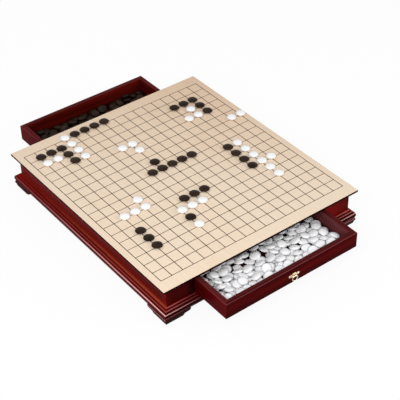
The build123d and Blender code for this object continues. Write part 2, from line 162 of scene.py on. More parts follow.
def select(piece: bpy.types.Object, kind: str, wanted: Callable[[Vector, Vector], bool]) -> None:
    """In edit mode, select the edges or the faces that pass a test.

    Args:
        piece: The object in edit mode.
        kind: EDGE or FACE.
        wanted: The test, on an edge's two ends or on a face's centre and normal.
    """
    bpy.ops.mesh.select_mode(type=kind)
    bpy.ops.mesh.select_all(action="DESELECT")
    mesh = bmesh.from_edit_mesh(piece.data)
    if kind == "EDGE":
        found = [edge for edge in mesh.edges if wanted(edge.verts[0].co, edge.verts[1].co)]
    else:
        found = [face for face in mesh.faces if wanted(face.calc_center_median(), face.normal)]
    for part in found:
        part.select_set(True)
    bmesh.update_edit_mesh(piece.data)


def face_outwards() -> None:
    """In edit mode, turn every face of a closed piece outwards."""
    bpy.ops.mesh.select_all(action="SELECT")
    bpy.ops.mesh.normals_make_consistent(inside=False)


def close_ends() -> None:
    """In edit mode, fill the open ends of a piece and turn its faces outwards."""
    bpy.ops.mesh.select_all(action="SELECT")
    bpy.ops.mesh.fill_holes(sides=0)
    face_outwards()


def smooth(piece: bpy.types.Object, angle: float = 35.0) -> bpy.types.Object:
    """Shade a piece smooth, with sharp edges above an angle in degrees.

    Args:
        piece: The object to shade.
        angle: The sharp angle.

    Returns:
        The same object.
    """
    take(piece)
    bpy.ops.object.shade_smooth_by_angle(angle=math.radians(angle))
    return piece


def apply_modifiers(piece: bpy.types.Object) -> bpy.types.Object:
    """Apply all modifiers of a piece.

    Args:
        piece: The object whose modifiers are applied.

    Returns:
        The same object.
    """
    take(piece)
    for modifier in list(piece.modifiers):
        bpy.ops.object.modifier_apply(modifier=modifier.name)
    return piece


def ease(piece: bpy.types.Object, width: float, angle: float) -> bpy.types.Object:
    """Round the sharp edges of a piece.

    Args:
        piece: The object to round.
        width: How wide the rounding is, in millimetres.
        angle: The least angle of a sharp edge, in degrees.

    Returns:
        The same object.
    """
    rounding = piece.modifiers.new("rounding", "BEVEL")
    rounding.width = width * MM
    rounding.segments = 2
    rounding.limit_method = "ANGLE"
    rounding.angle_limit = math.radians(angle)
    return apply_modifiers(piece)


def traced(node: str) -> bpy.types.Object:
    """A merged copy of a CAD node, to be finished as a piece of its own.

    Args:
        node: The CAD node's name.

    Returns:
        The copy, with its doubles merged and its flat faces joined.
    """
    deselect()
    source = frame["nodes"][node]
    piece = bpy.data.objects.new(f"{node}_finished", source.data.copy())
    bpy.context.scene.collection.objects.link(piece)
    with editing(piece):
        bpy.ops.mesh.select_all(action="SELECT")
        bpy.ops.mesh.remove_doubles(threshold=2e-6)
        bpy.ops.mesh.dissolve_limited(angle_limit=math.radians(0.5))
        face_outwards()
    return piece


def present(piece: bpy.types.Object, body: str, slot: str, *nodes: str) -> bpy.types.Object:
    """Let a finished piece ride on its body in place of its CAD nodes.

    Args:
        piece: The finished object.
        body: The body it moves with.
        slot: The record's material slot; not used.
        nodes: The CAD nodes it stands for.

    Returns:
        The same object.
    """
    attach(piece, body)
    if nodes:
        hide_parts(*nodes)
    log.info("piece %s: %d faces", piece.name, len(piece.data.polygons))
    return piece


# -------- profiles run round a rectangle
def bow(start: Point, end: Point, sagitta: float, steps: int = 6) -> list[Point]:
    """Points along an arc, without its start.

    Args:
        start: Where the arc begins, in millimetres.
        end: Where it ends.
        sagitta: How far it bows to the left of its travel.
        steps: The number of straight pieces.

    Returns:
        The points, the last one being the end.
    """
    first, last = Vector(start), Vector(end)
    chord = last - first
    along = chord.normalized()
    left = Vector((-along.y, along.x)) * math.copysign(1.0, sagitta)
    depth = abs(sagitta)
    radius = (chord.length_squared / 4 + depth**2) / (2 * depth)
    centre = (first + last) / 2 + left * (depth - radius)
    half = math.asin(chord.length / 2 / radius)
    angles = [half * (2 * step / steps - 1) for step in range(1, steps + 1)]
    return [tuple(centre + along * radius * math.sin(a) + left * radius * math.cos(a)) for a in angles]


@dataclass(frozen=True)
class Run:
    """A profile that runs round a rectangle with mitred corners.

    The profile's points are (outward, up): outward from the rectangle, up from the floor.
    """

    half_x: float
    half_y: float
    centre_y: float
    profile: tuple[Point, ...]

    def loop(self, name: str) -> bpy.types.Object:
        """Lay the profile out as one loop of edges after another.

        Args:
            name: The piece's name.

        Returns:
            The object: a flat rectangle with the profile drawn out from its border.
        """
        deselect()
        outward, up = self.profile[0]
        here = Vector((0.0, self.centre_y * MM, up * MM))
        bpy.ops.mesh.primitive_plane_add(size=2.0, location=here)
        half = Vector(((self.half_x + outward) * MM, (self.half_y + outward) * MM, 1.0))
        bpy.context.object.scale = half
        piece = settle(name)
        with editing(piece):
            bpy.ops.mesh.select_mode(type="EDGE")
            bpy.ops.mesh.select_all(action="SELECT")
            bpy.ops.mesh.delete(type="ONLY_FACE")
            bpy.ops.mesh.select_all(action="SELECT")
            for out, high in self.profile[1:]:
                rise = high * MM - here.z
                bpy.ops.mesh.extrude_edges_move(TRANSFORM_OT_translate={"value": (0.0, 0.0, rise)})
                here.z = high * MM
                wide = Vector(((self.half_x + out) * MM, (self.half_y + out) * MM, 1.0))
                ratio = (wide.x / half.x, wide.y / half.y, 1.0)
                bpy.ops.transform.resize(value=ratio, center_override=here)
                half = wide
        return piece

    def capped(self, name: str) -> bpy.types.Object:
        """A solid slab whose border is the profile, closed by flat faces at its first and last loop.

        Args:
            name: The piece's name.

        Returns:
            The closed piece.
        """
        piece = self.loop(name)
        with editing(piece):
            close_ends()
        return piece

    def sides(self, names: dict[Side, str]) -> dict[Side, bpy.types.Object]:
        """A closed profile cut at its mitres into one closed board for each side.

        Args:
            names: The name of each side's board.

        Returns:
            The boards by side.
        """
        closed = Run(self.half_x, self.half_y, self.centre_y, self.profile + self.profile[:1])
        whole = closed.loop("whole_run")
        with editing(whole):
            bpy.ops.mesh.select_all(action="SELECT")
            bpy.ops.mesh.remove_doubles(threshold=1e-7)
            face_outwards()
        boards = {}
        for side, name in names.items():
            board = self._part(whole, side)
            board.name = name
            board.data.name = name
            with editing(board):
                close_ends()
            boards[side] = smooth(board)
        bpy.data.objects.remove(whole)
        return boards

    def _part(self, whole: bpy.types.Object, side: Side) -> bpy.types.Object:
        """Separate one side's faces from the whole run.

        Args:
            whole: The closed run.
            side: The side to take off.

        Returns:
            The side's faces as an object of their own.
        """
        across, deep = side.value
        before = set(bpy.data.objects)

        def on_side(centre: Vector, _normal: Vector) -> bool:
            """Whether a face lies between this side's two mitres."""
            x, y = centre.x / MM, centre.y / MM - self.centre_y
            lead = (abs(x) - self.half_x) - (abs(y) - self.half_y)
            return lead * (abs(across) - abs(deep)) > 0 and x * across + y * deep > 0

        with editing(whole):
            select(whole, "FACE", on_side)
            bpy.ops.mesh.separate(type="SELECTED")
        return (set(bpy.data.objects) - before).pop()


# -------- finishes
class Recipe:
    """A node material, or the nodes of a world, while it is put together."""

    def __init__(self, name: str, world: bpy.types.World | None = None) -> None:
        """Start with no nodes but the piece's own coordinates.

        Args:
            name: The material's name.
            world: The world to work on, in place of a new material.
        """
        self.material = world or bpy.data.materials.new(name)
        self.material.use_nodes = True
        self.tree = self.material.node_tree
        self.tree.nodes.clear()
        self.place = self.tree.nodes.new("ShaderNodeTexCoord").outputs["Object"]

    def node(self, kind: str, inputs: Inputs | None = None, **settings: object) -> bpy.types.Node:
        """Add a node.

        Args:
            kind: The node's type, without its prefix.
            inputs: A value or a socket for each named or numbered input.
            settings: Attributes of the node.

        Returns:
            The new node.
        """
        made = self.tree.nodes.new("ShaderNode" + kind)
        for key, value in settings.items():
            setattr(made, key, value)
        for key, value in (inputs or {}).items():
            if isinstance(value, Socket):
                self.tree.links.new(value, made.inputs[key])
            else:
                made.inputs[key].default_value = value
        return made

    def maths(self, operation: str, *values: object) -> Socket:
        """One step of arithmetic on values or sockets, and its result."""
        return self.node("Math", dict(enumerate(values)), operation=operation).outputs[0]

    def stretched(self, scale: Spot) -> Socket:
        """The piece's own coordinates, squeezed by a factor on each axis."""
        return self.node("Mapping", {"Vector": self.place, "Scale": scale}).outputs[0]

    def noise(self, scale: float, where: Socket, detail: float = 4.0, distortion: float = 0.0) -> Socket:
        """Cloudy noise from 0 to 1 with this many waves in a metre."""
        settings = {"Vector": where, "Scale": scale, "Detail": detail, "Distortion": distortion}
        return self.node("TexNoise", settings).outputs["Fac"]

    def spread(self, value: Socket, low: float, high: float, to: Point = (0.0, 1.0)) -> Socket:
        """Map a range of a value onto another range, clamped."""
        settings = {"Value": value, "From Min": low, "From Max": high, "To Min": to[0], "To Max": to[1]}
        return self.node("MapRange", settings).outputs[0]

    def blend(self, share: object, first: object, second: object) -> Socket:
        """A colour between two, by a share from 0 to 1."""
        inputs = {"Factor": share, 6: first, 7: second}
        return self.node("Mix", inputs, data_type="RGBA").outputs[2]

    def bump(self, height: Socket, strength: float, distance: float) -> Socket:
        """A normal that follows a height."""
        return self.node("Bump", {"Height": height, "Strength": strength, "Distance": distance}).outputs[0]

    def shown(self) -> Socket:
        """Tell what is seen directly, in a reflection or through glass from what only lights others.

        Returns:
            1 where it is seen and 0 otherwise.
        """
        path = self.node("LightPath").outputs
        reflected = self.maths("MAXIMUM", path["Is Camera Ray"], path["Is Glossy Ray"])
        return self.maths("MAXIMUM", reflected, path["Is Transmission Ray"])

    def finish(self, inputs: Inputs) -> bpy.types.Material:
        """Close the material with one principled surface.

        Args:
            inputs: The surface's values and sockets.

        Returns:
            The material.
        """
        surface = self.node("BsdfPrincipled", inputs)
        self.node("OutputMaterial", {"Surface": surface.outputs[0]})
        return self.material


def linear(value: float) -> float:
    """One part of a colour in linear light, from its 0 to 255 value on a screen."""
    share = value / 255
    return share / 12.92 if share <= 0.04045 else ((share + 0.055) / 1.055) ** 2.4


def colour(red: float, green: float, blue: float) -> Tone:
    """A linear colour from the three 0 to 255 values of a screen."""
    return (linear(red), linear(green), linear(blue), 1.0)


@dataclass(frozen=True)
class Fade:
    """How a band of painted highlight and shade dies away along an axis, between two places in millimetres.
    """

    axis: int
    full: float
    faint: float
    mirrored: bool = False
    rest: float = 0.12

    def share(self, recipe: Recipe, parts: bpy.types.NodeOutputs) -> Socket:
        """How much of the line is left at each place.

        Args:
            recipe: The material being made.
            parts: The three coordinates.

        Returns:
            The share, from 1 down to the rest.
        """
        place = parts[self.axis]
        if self.mirrored:
            place = recipe.maths("ABSOLUTE", place)
        return recipe.spread(place, self.full * MM, self.faint * MM, (1.0, self.rest))


@dataclass(frozen=True)
class PaintedLightBand:
    """A level band, in millimetres, of painted light laid into the stain's colour: a light one is a painted
    highlight, a dark one painted shade.

    A light one along an edge with gloss also gets a real clear coat there. A wide one without gloss is a
    slow painted change of light or shade up a wall. The band has its full strength over the core, which is
    a share of its width.
    """

    height: float
    half_width: float
    strength: float
    tone: Tone
    gloss: float = 0.6
    fade: Fade | None = None
    core: float = 0.4


@dataclass(frozen=True)
class Lacquer:
    """Red-brown stain under clear lacquer, with the grain just showing, and any bands of painted highlight
    and painted shade on it.
    """

    name: str
    deep: Tone = colour(74, 4, 5)
    bright: Tone = colour(118, 9, 8)
    roughness: float = 0.22
    coat_roughness: float = 0.12
    specular: float = 0.008
    figure_waves: float = 42.0
    figure_share: float = 0.7
    pore_waves: float = 620.0
    patch_waves: float = 55.0
    painted_light_bands: tuple[PaintedLightBand, ...] = ()

    def material(self, grain: Grain) -> bpy.types.Material:
        """The finish for a board whose grain runs one way.

        Args:
            grain: The direction of the grain.

        Returns:
            The material.
        """
        known = f"{self.name}_{grain.name.lower()}"
        if known in bpy.data.materials:
            return bpy.data.materials[known]
        recipe = Recipe(known)
        along = recipe.stretched(grain.value)
        figure = recipe.noise(self.figure_waves, along, 5.0, 0.8)
        pores = recipe.noise(self.pore_waves, along, 3.0)
        patches = recipe.noise(self.patch_waves, recipe.place, 2.0)
        figure_part = recipe.maths("MULTIPLY", figure, self.figure_share)
        pore_part = recipe.maths("MULTIPLY", pores, 1.0 - self.figure_share)
        streak = recipe.maths("ADD", figure_part, pore_part)
        stain = recipe.blend(recipe.spread(streak, 0.34, 0.66), self.deep, self.bright)
        surface = {
            "Base Color": stain,
            "Roughness": recipe.spread(patches, 0.3, 0.7, (self.roughness - 0.04, self.roughness + 0.05)),
            "Specular IOR Level": self.specular,
            "Normal": recipe.bump(pores, 0.06, 0.0004),
        }
        # Bands of painted highlight and painted shade go into the base colour; those with gloss also get a
        # real clear coat.
        if self.painted_light_bands:
            surface["Base Color"], surface["Coat Weight"] = self._paint_light_bands(recipe, stain)
            surface["Coat Roughness"] = self.coat_roughness
        return recipe.finish(surface)

    def _paint_light_bands(self, recipe: Recipe, stain: Socket) -> tuple[Socket, Socket | float]:
        """Paint the bands of highlight and shade into the stain.

        Args:
            recipe: The material being made.
            stain: The colour away from the painted bands.

        Returns:
            The colour with the painted highlight and shade bands on it, and the weight of the real clear
            coat on the glossy ones.
        """
        parts = recipe.node("SeparateXYZ", {"Vector": recipe.place}).outputs
        coat: Socket | float = 0.0
        for band in self.painted_light_bands:
            away = recipe.maths("ABSOLUTE", recipe.maths("SUBTRACT", parts[2], band.height * MM))
            border = band.half_width * MM
            line = recipe.spread(away, border, border * band.core, (0.0, band.strength))
            if band.fade:
                line = recipe.maths("MULTIPLY", line, band.fade.share(recipe, parts))
            stain = recipe.blend(line, stain, band.tone)
            if band.gloss:
                coat = recipe.maths("MULTIPLY_ADD", line, band.gloss, coat)
        return stain, coat


@dataclass(frozen=True)
class BareWood:
    """Plain pale wood inside the cabinet."""

    name: str = "bare_wood"
    deep: Tone = colour(150, 112, 72)
    bright: Tone = colour(196, 160, 116)
    roughness: float = 0.65
    ring_waves: float = 60.0
    pore_waves: float = 900.0

    def material(self, grain: Grain) -> bpy.types.Material:
        """The finish for a board whose grain runs one way.

        Args:
            grain: The direction of the grain.

        Returns:
            The material.
        """
        known = f"{self.name}_{grain.name.lower()}"
        if known in bpy.data.materials:
            return bpy.data.materials[known]
        recipe = Recipe(known)
        along = recipe.stretched(grain.value)
        rings = recipe.noise(self.ring_waves, along, 5.0, 1.2)
        pores = recipe.noise(self.pore_waves, along, 2.0)
        wood = recipe.blend(recipe.spread(rings, 0.3, 0.7), self.deep, self.bright)
        return recipe.finish({
            "Base Color": wood, "Roughness": self.roughness, "Normal": recipe.bump(pores, 0.2, 0.0005),
        })


@dataclass(frozen=True)
class FieldVeneer:
    """Pale veneer with a ruled field of lines and its star points."""

    lines: int = 19
    cell_x: float = 22.0
    cell_y: float = 23.71
    half_lines: Point = (0.72, 0.64)
    star_radius: float = 1.7
    star_spacing: int = 6
    warm: Tone = colour(228, 198, 168)
    light: Tone = colour(240, 220, 196)
    ink: Tone = colour(46, 26, 13)
    roughness: float = 0.5
    specular: float = 0.12
    slope: Point = (-40.0, 450.0)
    slope_share: Point = (0.95, 0.1)
    drift_waves: float = 7.0
    drift_share: float = 0.1
    streak_waves: float = 300.0
    streak_share: float = 0.2

    def material(self) -> bpy.types.Material:
        """The finish of the playing surface.

        Returns:
            The material, lighter towards the far right corner.
        """
        recipe = Recipe("field_veneer")
        parts = recipe.node("SeparateXYZ", {"Vector": recipe.place}).outputs
        diagonal = recipe.maths("ADD", parts[0], parts[1])
        slope = recipe.spread(diagonal, self.slope[0] * MM, self.slope[1] * MM, self.slope_share)
        cloud = recipe.noise(self.drift_waves, recipe.place, 2.0)
        drift = recipe.spread(cloud, 0.3, 0.7, (-self.drift_share, self.drift_share))
        streak = recipe.noise(self.streak_waves, recipe.stretched(Grain.ALONG_Y.value), 5.0, 0.4)
        figure = recipe.spread(streak, 0.3, 0.7, (-self.streak_share, self.streak_share))
        share = recipe.maths("ADD", recipe.maths("ADD", slope, drift), figure)
        wood = recipe.blend(share, self.warm, self.light)
        return recipe.finish({
            "Base Color": recipe.blend(self._ruling(recipe, parts), wood, self.ink),
            "Roughness": self.roughness,
            "Specular IOR Level": self.specular,
            "Normal": recipe.bump(streak, 0.05, 0.0003),
        })

    def _ruling(self, recipe: Recipe, parts: bpy.types.NodeOutputs) -> Socket:
        """Where ink lies: on the lines inside the field, and on the nine star points.

        Args:
            recipe: The material being made.
            parts: The three coordinates.

        Returns:
            1 on ink and 0 elsewhere.
        """
        half = (self.lines - 1) / 2
        near, within, star = [], [], []
        for value, cell, half_line in zip(parts, (self.cell_x, self.cell_y), self.half_lines):
            pitch = cell * MM
            thin = half_line * MM
            near.append(recipe.maths("LESS_THAN", recipe.maths("PINGPONG", value, pitch / 2), thin))
            within.append(recipe.maths("LESS_THAN", recipe.maths("ABSOLUTE", value), half * pitch + thin))
            offset = recipe.maths("PINGPONG", value, pitch * self.star_spacing / 2)
            star.append(recipe.maths("POWER", offset, 2.0))
        inside = recipe.maths("MULTIPLY", within[0], within[1])
        line = recipe.maths("MAXIMUM", near[0], near[1])
        dot = recipe.maths("LESS_THAN", recipe.maths("ADD", star[0], star[1]), (self.star_radius * MM) ** 2)
        return recipe.maths("MULTIPLY", recipe.maths("MAXIMUM", line, dot), inside)


@dataclass(frozen=True)
class StoneFinish:
    """The finish of one colour of stones."""

    name: str
    shade: Tone
    tint: Tone
    roughness: float
    specular: float
    cloud_waves: float = 45.0
    pore_waves: float = 1400.0

    def material(self) -> bpy.types.Material:
        """The finish, with a slight change of tone from stone to stone.

        Returns:
            The material.
        """
        if self.name in bpy.data.materials:
            return bpy.data.materials[self.name]
        recipe = Recipe(self.name)
        cloud = recipe.noise(self.cloud_waves, recipe.place, 2.0)
        pores = recipe.noise(self.pore_waves, recipe.place, 2.0)
        tone = recipe.blend(recipe.spread(cloud, 0.35, 0.65), self.shade, self.tint)
        rough = recipe.spread(pores, 0.3, 0.7, (self.roughness - 0.03, self.roughness + 0.05))
        return recipe.finish({
            "Base Color": tone, "Roughness": rough, "Specular IOR Level": self.specular,
            "Normal": recipe.bump(pores, 0.05, 0.0002),
        })


@dataclass(frozen=True)
class CastBrass:
    """Polished brass, a little dulled in patches."""

    name: str = "cast_brass"
    bright: Tone = colour(252, 242, 216)
    dull: Tone = colour(172, 142, 98)
    roughness: Point = (0.16, 0.34)
    patch_waves: float = 320.0

    def material(self) -> bpy.types.Material:
        """The finish of the pulls.

        Returns:
            The material.
        """
        if self.name in bpy.data.materials:
            return bpy.data.materials[self.name]
        recipe = Recipe(self.name)
        patches = recipe.noise(self.patch_waves, recipe.place, 3.0)
        tone = recipe.blend(recipe.spread(patches, 0.4, 0.7), self.bright, self.dull)
        rough = recipe.spread(patches, 0.3, 0.7, self.roughness)
        return recipe.finish({"Base Color": tone, "Metallic": 1.0, "Roughness": rough})


# These fades let the painted highlights and painted shade die away: along the sides, from the corners along
# the ends, and away from the cabinet on the drawers' sides.
ALONG_SIDE = Fade(axis=1, full=-200.0, faint=170.0)
FROM_CORNERS = Fade(axis=0, full=190.0, faint=140.0, mirrored=True)
INTO_CABINET = Fade(axis=1, full=240.0, faint=310.0, mirrored=True)
# Faces that look front or back take darker copies of the stain than the sides, for the weaker light they
# get: painted shade.
LACQUER = Lacquer("lacquer", deep=colour(56, 3, 4), bright=colour(93, 7, 7))
# Next to the drawer on its left, the stile's face is painted darker: painted shadow of the drawer.
LEFT_STILE = Lacquer("left_stile_lacquer", deep=colour(56, 3, 4), bright=colour(93, 7, 7), painted_light_bands=(
    PaintedLightBand(45.0, 40.0, 0.75, colour(10, 1, 1), 0.0, Fade(axis=0, full=-146.0, faint=-178.0)),
))
# Next to the drawer on its right, the stile's face is painted brighter: painted light from the right.
RIGHT_STILE = Lacquer("right_stile_lacquer", deep=colour(56, 3, 4), bright=colour(93, 7, 7), painted_light_bands=(
    PaintedLightBand(45.0, 40.0, 0.6, colour(150, 24, 18), 0.0, Fade(axis=0, full=156.0, faint=196.0)),
))
# The sides are painted brighter high on the wall, where the board's overhang shades them, and warmer
# towards the moulding: painted light. The thin line at the wall's foot is a painted highlight that also
# gets a real clear coat.
SIDE_PAINTED_LIGHT = Lacquer("side_painted_light_lacquer", painted_light_bands=(
    PaintedLightBand(64.0, 22.0, 0.55, colour(150, 14, 18), 0.0),
    PaintedLightBand(29.0, 13.0, 0.3, colour(166, 50, 26), 0.0),
    PaintedLightBand(29.0, 1.9, 0.6, colour(220, 112, 80), 0.3, ALONG_SIDE),
))
# On the front and back mouldings: a darker copy of the stain and a dark band under the bead, painted shade;
# light lines at the edges, painted highlights that fade from the corners and also get a real clear coat.
END_MOULDED = Lacquer("end_moulding_lacquer", deep=colour(38, 3, 5), bright=colour(68, 6, 7), painted_light_bands=(
    PaintedLightBand(18.2, 2.6, 0.75, colour(8, 1, 1), 0.0),
    PaintedLightBand(28.5, 0.8, 0.8, colour(204, 84, 78), fade=FROM_CORNERS),
    PaintedLightBand(25.9, 0.8, 0.75, colour(204, 98, 92), fade=FROM_CORNERS),
    PaintedLightBand(22.2, 0.95, 0.85, colour(232, 160, 158), fade=FROM_CORNERS),
    PaintedLightBand(13.6, 0.8, 0.8, colour(214, 124, 118), fade=FROM_CORNERS),
))
# On the side mouldings: light lines at the edges, painted highlights that fade along the side and also get
# a real clear coat; a dark band low on the bead, painted shade.
SIDE_MOULDED = Lacquer("side_moulding_lacquer", painted_light_bands=(
    PaintedLightBand(28.4, 0.9, 0.65, colour(200, 84, 48), fade=ALONG_SIDE),
    PaintedLightBand(25.9, 0.8, 0.5, colour(210, 104, 88), fade=Fade(axis=1, full=-150.0, faint=240.0)),
    PaintedLightBand(22.2, 1.25, 1.0, colour(252, 188, 186), fade=ALONG_SIDE),
    PaintedLightBand(15.5, 3.0, 0.6, colour(26, 3, 4), 0.0),
))
# On the feet: a light line at the top, a painted highlight that fades along the run and also gets a real
# clear coat; the front and back brackets take a darker copy than the sides, painted shade.
END_FOOTED = Lacquer(
    "end_foot_lacquer", deep=colour(28, 3, 5), bright=colour(50, 5, 7), specular=0.004,
    painted_light_bands=(PaintedLightBand(10.6, 0.6, 0.9, colour(214, 126, 124), fade=Fade(axis=0, full=190.0, faint=-190.0)),),
)
SIDE_FOOTED = Lacquer(
    "side_foot_lacquer", deep=colour(38, 3, 6), bright=colour(72, 6, 10), specular=0.004,
    painted_light_bands=(PaintedLightBand(10.6, 0.55, 0.75, colour(226, 150, 150), fade=ALONG_SIDE),),
)
# A light line along the drawer's rim: a painted highlight that also gets a real clear coat.
RIM_LINE = PaintedLightBand(60.0, 0.5, 0.24, colour(196, 110, 114))
# The drawer's front and back are painted darker towards the bottom: painted shade.
END_WALL = Lacquer("end_wall_lacquer", deep=colour(62, 4, 5), bright=colour(104, 10, 11), painted_light_bands=(
    RIM_LINE,
    PaintedLightBand(33.0, 14.0, 0.5, colour(24, 3, 4), 0.0),
))
# The drawer's sides are painted darker where they go in under the board: painted shadow.
SIDE_WALL = Lacquer("side_wall_lacquer", deep=colour(66, 3, 5), bright=colour(112, 8, 10), painted_light_bands=(
    RIM_LINE,
    PaintedLightBand(45.0, 40.0, 0.5, colour(24, 2, 3), 0.0, INTO_CABINET),
))
# The tops of the drawers' rims take a darker, duller copy of the stain than the faces, for the light that
# falls on them from above: painted shade.
CREST = Lacquer("crest_lacquer", deep=colour(66, 18, 19), bright=colour(98, 36, 37))
# The front drawer's lining is greyed towards pink: a painted reflection of the white stones.
INNER_PAINTED_REFLECTION = Lacquer("inner_painted_reflection_lacquer", deep=colour(84, 38, 40), bright=colour(122, 64, 66))
RED_INNER = Lacquer("red_inner_lacquer", deep=colour(58, 6, 4), bright=colour(98, 18, 10))
DARK_STAIN = Lacquer("dark_stain", deep=colour(26, 5, 4), bright=colour(42, 10, 8))
BARE_WOOD = BareWood()


def dress(piece: bpy.types.Object, *materials: bpy.types.Material) -> bpy.types.Object:
    """Give a piece its materials, all faces taking the first.

    Args:
        piece: The object to dress.
        materials: Its materials in order.

    Returns:
        The same object.
    """
    piece.data.materials.clear()
    for material in materials:
        piece.data.materials.append(material)
    return piece


# -------- board
@dataclass
class Board:
    """The playing surface on its dark-edged, undercut panel."""

    half_x: float = 211.2
    half_y: float = 238.99
    top: float = 74.0
    veneer: float = 1.0
    edge: float = 3.0
    panel: float = 8.0
    undercut: float = 9.0
    undercut_bow: float = 1.2
    edge_round: float = 0.45
    least_rise: float = 0.8  # of a face's normal, where the face counts as the top

    def build(self) -> None:
        """Make and dress the surface and the panel."""
        self.surface()
        self.slab()

    def surface(self) -> bpy.types.Object:
        """The pale sheet, its border stained dark.

        Returns:
            The finished sheet.
        """
        seam = self.top - self.veneer
        shoulder = self.top - self.edge_round
        easing = bow((0.0, shoulder), (-self.edge_round, self.top), -QUARTER_BOW * self.edge_round, 3)
        profile = ((0.0, seam), (0.0, shoulder), *easing)
        piece = Run(self.half_x, self.half_y, 0.0, profile).capped("playing_surface_ruled")
        dress(piece, FieldVeneer().material(), DARK_STAIN.material(Grain.ALONG_Y))
        for face in piece.data.polygons:
            face.material_index = 0 if face.normal.z > self.least_rise else 1
        return present(smooth(piece), "cabinet", "pale_wood", "playing_surface")

    def slab(self) -> bpy.types.Object:
        """The panel below it, with its edge and its undercut.

        Returns:
            The finished panel.
        """
        high = self.top - self.veneer
        low = high - self.panel
        edge_low = high - self.edge
        hollow = bow((0.0, edge_low), (-self.undercut, low), -self.undercut_bow, 8)
        profile = ((0.0, high), (0.0, edge_low), *hollow)
        piece = Run(self.half_x, self.half_y, 0.0, profile).capped("top_panel_stained")
        dress(piece, DARK_STAIN.material(Grain.ALONG_Y))
        return present(smooth(piece), "cabinet", "stained_edge", "top_panel")


# -------- cabinet
@dataclass
class Cabinet:
    """The carcase under the board: walls, frames, floor and what guides the drawers."""

    half_x: float = WALL_X
    half_y: float = WALL_Y
    corner_round: float = 1.2
    least_upright: float = 10.0
    tolerance: float = 0.01  # between a corner and an edge that lies on it
    bare: tuple[str, ...] = (
        "cabinet_floor", "floor_battens", "foot_glue_blocks", "left_drawer_guide", "right_drawer_guide",
        "front_drawer_runners", "back_drawer_runners", "front_drawer_kickers", "back_drawer_kickers",
    )

    def build(self) -> None:
        """Round the stiles' outer corners and dress every wall."""
        for node in self.bare:
            dress(frame["nodes"][node], BARE_WOOD.material(Grain.ALONG_Y))
        dress(frame["nodes"]["centre_divider"], BARE_WOOD.material(Grain.ALONG_X))
        for hand in ("left", "right"):
            dress(frame["nodes"][f"{hand}_side_panel"], SIDE_PAINTED_LIGHT.material(Grain.ALONG_Y))
        for end in ("front", "back"):
            for rail in ("top_rail", "bottom_rail"):
                dress(frame["nodes"][f"{end}_{rail}"], LACQUER.material(Grain.ALONG_X))
            for hand in ("left", "right"):
                self.stile(f"{end}_{hand}_stile")

    def stile(self, node: str) -> bpy.types.Object:
        """One stile, its outer corner eased.

        Args:
            node: The CAD stile it stands for.

        Returns:
            The finished stile.
        """
        low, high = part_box(node)
        deselect()
        bpy.ops.mesh.primitive_cube_add(size=1.0, location=(low + high) / 2)
        bpy.context.object.scale = high - low
        piece = settle(f"{node}_eased")
        with editing(piece):
            select(piece, "EDGE", self._outer_corner)
            bpy.ops.mesh.bevel(offset=self.corner_round * MM, segments=4, affect="EDGES")
        # Stiles left of the drawer get the painted shadow, those right of it the painted light.
        end_finish = LEFT_STILE if high.x < 0 else RIGHT_STILE
        dress(piece, end_finish.material(Grain.ALONG_Z), SIDE_PAINTED_LIGHT.material(Grain.ALONG_Z))
        for face in piece.data.polygons:
            face.material_index = int(abs(face.normal.x) > math.cos(math.radians(45)))
        return present(smooth(piece), "cabinet", "mahogany", node)

    def _outer_corner(self, first: Vector, second: Vector) -> bool:
        """Whether an edge is an upright one at a corner of the cabinet.

        Args:
            first: The edge's first end.
            second: Its second end.

        Returns:
            True for an upright edge at a corner.
        """
        upright = abs(first.z - second.z) > self.least_upright * MM
        off_x = abs(abs(first.x) - self.half_x * MM)
        off_y = abs(abs(first.y) - self.half_y * MM)
        return upright and max(off_x, off_y) < self.tolerance * MM


# -------- base
@dataclass
class Base:
    """The mitred base moulding and the eight brackets of the four feet."""

    half_x: float = WALL_X
    half_y: float = WALL_Y
    foot_top: float = 12.0
    moulding_top: float = 29.0
    easing: float = 0.35
    sharp_angle: float = 40.0
    corners: tuple[str, ...] = ("front_right", "back_right", "back_left", "front_left")

    def profile(self) -> tuple[Point, ...]:
        """The moulding's section, from its lower inner corner up to the wall.

        Returns:
            Points (outward, up) of its neck, bead, step, cove, round, cove and round.
        """
        return (
            (0.0, self.foot_top),
            (9.2, self.foot_top),
            (9.2, 13.6),
            *bow((9.2, 13.6), (9.0, 23.4), -1.45, 12),
            (8.4, 23.4),
            *bow((8.4, 23.4), (5.9, 25.9), 0.6, 6),
            *bow((5.9, 25.9), (5.2, 26.6), -0.2, 4),
            (4.5, 26.6),
            *bow((4.5, 26.6), (1.8, 28.2), 0.5, 6),
            *bow((1.8, 28.2), (1.0, self.moulding_top), -0.23, 4),
            (0.0, self.moulding_top),
        )

    def build(self) -> None:
        """Make and dress the moulding and the feet."""
        run = Run(self.half_x, self.half_y, 0.0, self.profile())
        names = {side: f"{side.name.lower()}_base_moulding" for side in Side}
        boards = run.sides({side: f"{name}_run" for side, name in names.items()})
        for side, board in boards.items():
            finish = END_MOULDED if side.grain is Grain.ALONG_X else SIDE_MOULDED
            dress(board, finish.material(side.grain))
            present(board, "cabinet", "mahogany", names[side])
        for corner in self.corners:
            for half, grain in (("end", Grain.ALONG_X), ("side", Grain.ALONG_Y)):
                self.bracket(f"{corner}_foot_{half}_bracket", grain)

    def bracket(self, node: str, grain: Grain) -> bpy.types.Object:
        """One bracket of a foot, with its sharp edges eased.

        Args:
            node: The CAD bracket it stands for.
            grain: The direction of its grain.

        Returns:
            The finished bracket.
        """
        piece = ease(traced(node), self.easing, self.sharp_angle)
        finish = END_FOOTED if grain is Grain.ALONG_X else SIDE_FOOTED
        dress(piece, finish.material(grain))
        return present(smooth(piece), "cabinet", "mahogany", node)


